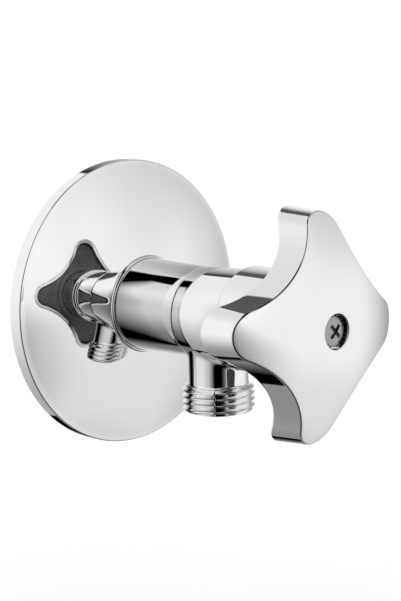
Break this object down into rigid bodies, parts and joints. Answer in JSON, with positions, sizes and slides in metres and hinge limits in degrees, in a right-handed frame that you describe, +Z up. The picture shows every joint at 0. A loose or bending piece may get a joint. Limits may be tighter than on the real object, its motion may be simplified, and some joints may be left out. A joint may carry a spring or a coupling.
{
  "type": "angle stop valve",
  "caption": "Chrome-plated wall-mounted angle stop valve with a sliding rosette, a downward threaded outlet and a four-lobed handle on a spindle.",
  "frame": {"origin": "on the axis of the inlet thread, in the plane of the finished wall", "axes": "+Y along the inlet axis into the wall, -Y towards the handle, +Z up, the outlet points along -Z"},
  "size_m": [0.0856, 0.0976, 0.0856],
  "materials": {
    "chrome_plate": "polished chrome plating on brass",
    "handle_chrome": "polished chrome plating on cast zinc",
    "brass": "machined",
    "spindle_bronze": "turned",
    "steel": "dull grey stainless steel",
    "rubber": "smooth moulded rubber",
    "ptfe": "smooth white"
  },
  "bodies": {
    "valve": {"valve_body": "chrome_plate", "inlet_seal_ring": "ptfe", "seat_ring": "steel", "headwork_housing": "brass", "headwork_gasket": "rubber"},
    "rosette": {"rosette": "chrome_plate", "rosette_o_ring": "rubber"},
    "handle": {"handle": "handle_chrome", "handle_insert": "brass", "handle_screw": "steel", "screw_lock_washer": "steel", "spindle": "spindle_bronze", "thrust_washer": "ptfe", "spindle_o_ring_inner": "rubber", "spindle_o_ring_outer": "rubber", "spindle_circlip": "steel"},
    "piston": {"piston": "brass", "piston_o_ring": "rubber", "seat_washer": "rubber", "washer_screw": "steel"}
  },
  "joints": [
    {"name": "handle_turn", "type": "hinge", "parent": "valve", "child": "handle", "pos_m": [0, -0.07, 0], "axis": [0, -1, 0], "range_deg": [0, 945]},
    {"name": "piston_slide", "type": "slide", "parent": "valve", "child": "piston", "axis": [0, -1, 0], "range_m": [0, 0.00526]},
    {"name": "rosette_slide", "type": "slide", "parent": "valve", "child": "rosette", "axis": [0, -1, 0], "range_m": [0, 0.0135]}
  ],
  "couplings": [
    {"joint": "piston_slide", "follows": "handle_turn", "m_per_rad": 0.00031831}
  ]
}
